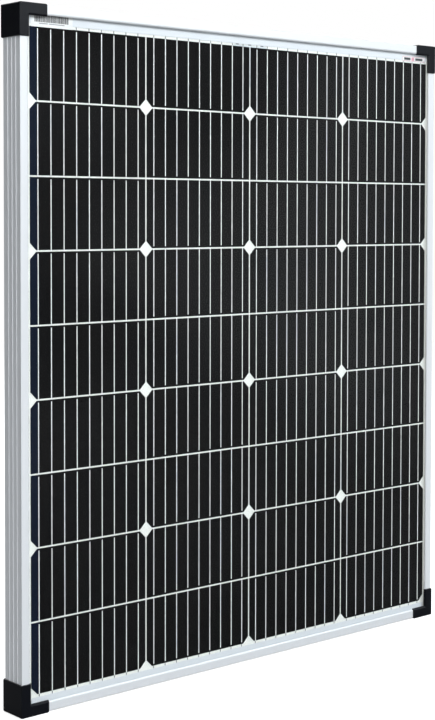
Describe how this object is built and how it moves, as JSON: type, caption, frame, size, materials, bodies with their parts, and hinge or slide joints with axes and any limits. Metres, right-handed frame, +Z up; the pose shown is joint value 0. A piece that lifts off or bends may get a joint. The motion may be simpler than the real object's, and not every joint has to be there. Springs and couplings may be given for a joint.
{
  "type": "solar panel",
  "caption": "Framed glass photovoltaic panel of dark half-cut cells, with black corner caps, rear mounting slots and a hinged-lid junction box with cable glands.",
  "frame": {"origin": "middle of the base, under the lower corner caps", "axes": "+X to the right seen from the glass side, +Y from the glass to the back, +Z up along the panel's long side"},
  "size_m": [0.701, 0.038, 0.811],
  "materials": {
    "frame_aluminium": "clear anodised, satin, drawn lengthwise",
    "key_aluminium": "mill finish",
    "cap_plastic": "moulded, finely textured",
    "front_glass": "clear tempered, smooth",
    "clear_encapsulant": "clear film",
    "white_encapsulant": "white film",
    "backsheet": "white film, satin",
    "white_strip": "white film",
    "cell": "near-black coated silicon",
    "tinned_ribbon": "tin-coated copper, dull bright",
    "serial_label": "white with plain bars",
    "mark_label": "white with a plain mark",
    "rating_label": "silvered film, blank",
    "box_plastic": "moulded, finely textured",
    "gland_plastic": "moulded nylon",
    "rubber": "soft, dull",
    "silicone": "cured silicone, satin",
    "rail_metal": "tin-plated brass",
    "steel": "plated",
    "diode_wire": "tinned wire",
    "diode_body": "moulded epoxy"
  },
  "bodies": {
    "panel": {"backsheet": "backsheet", "bus_ribbon_bottom_left": "tinned_ribbon", "bus_ribbon_bottom_right": "tinned_ribbon", "bus_ribbon_top_left": "tinned_ribbon", "bus_ribbon_top_middle": "tinned_ribbon", "bus_ribbon_top_right": "tinned_ribbon", "bypass_diodes": "diode_body", "cell_string_1": "cell", "cell_string_2": "cell", "cell_string_3": "cell", "cell_string_4": "cell", "corner_cap_bottom_left": "cap_plastic", "corner_cap_bottom_right": "cap_plastic", "corner_cap_top_left": "cap_plastic", "corner_cap_top_right": "cap_plastic", "corner_key_bottom_left": "key_aluminium", "corner_key_bottom_right": "key_aluminium", "corner_key_top_left": "key_aluminium", "corner_key_top_right": "key_aluminium", "cover_strip_bottom": "white_strip", "cover_strip_top": "white_strip", "diode_leads": "diode_wire", "frame_bottom": "frame_aluminium", "frame_left": "frame_aluminium", "frame_right": "frame_aluminium", "frame_seal": "silicone", "frame_top": "frame_aluminium", "front_encapsulant": "clear_encapsulant", "front_glass": "front_glass", "gland_body_left": "gland_plastic", "gland_body_right": "gland_plastic", "gland_locknuts": "gland_plastic", "gland_o_rings": "rubber", "gland_seal_left": "rubber", "gland_seal_right": "rubber", "junction_box_adhesive": "silicone", "junction_box_body": "box_plastic", "lead_insulation": "white_strip", "lead_ribbons": "tinned_ribbon", "lid_gasket": "rubber", "lid_hinge_pins": "steel", "mark_label": "mark_label", "rating_label": "rating_label", "rear_encapsulant": "white_encapsulant", "ribbon_clips": "steel", "ribbons_string_1": "tinned_ribbon", "ribbons_string_2": "tinned_ribbon", "ribbons_string_3": "tinned_ribbon", "ribbons_string_4": "tinned_ribbon", "serial_label": "serial_label", "terminal_rail_middle": "rail_metal", "terminal_rail_negative": "rail_metal", "terminal_rail_positive": "rail_metal", "terminal_screws": "steel"},
    "junction_box_lid": {"junction_box_lid": "box_plastic"},
    "gland_clamp_left": {"gland_clamp_left": "gland_plastic"},
    "gland_nut_left": {"gland_nut_left": "gland_plastic"},
    "gland_clamp_right": {"gland_clamp_right": "gland_plastic"},
    "gland_nut_right": {"gland_nut_right": "gland_plastic"}
  },
  "joints": [
    {"name": "lid_swing", "type": "hinge", "parent": "panel", "child": "junction_box_lid", "pos_m": [0, 0.00895, 0.756], "axis": [1, 0, 0], "range_deg": [0, 110]},
    {"name": "gland_clamp_travel_left", "type": "slide", "parent": "panel", "child": "gland_clamp_left", "axis": [0, 0, -1], "range_m": [0, 0.0045]},
    {"name": "gland_nut_turn_left", "type": "hinge", "parent": "gland_clamp_left", "child": "gland_nut_left", "pos_m": [-0.036, 0.00085, 0.646], "axis": [0, 0, -1], "range_deg": [0, 1080]},
    {"name": "gland_clamp_travel_right", "type": "slide", "parent": "panel", "child": "gland_clamp_right", "axis": [0, 0, -1], "range_m": [0, 0.0045]},
    {"name": "gland_nut_turn_right", "type": "hinge", "parent": "gland_clamp_right", "child": "gland_nut_right", "pos_m": [0.036, 0.00085, 0.646], "axis": [0, 0, -1], "range_deg": [0, 1080]}
  ],
  "couplings": [
    {"joint": "gland_clamp_travel_left", "follows": "gland_nut_turn_left", "m_per_rad": 0.00023873},
    {"joint": "gland_clamp_travel_right", "follows": "gland_nut_turn_right", "m_per_rad": 0.00023873}
  ]
}
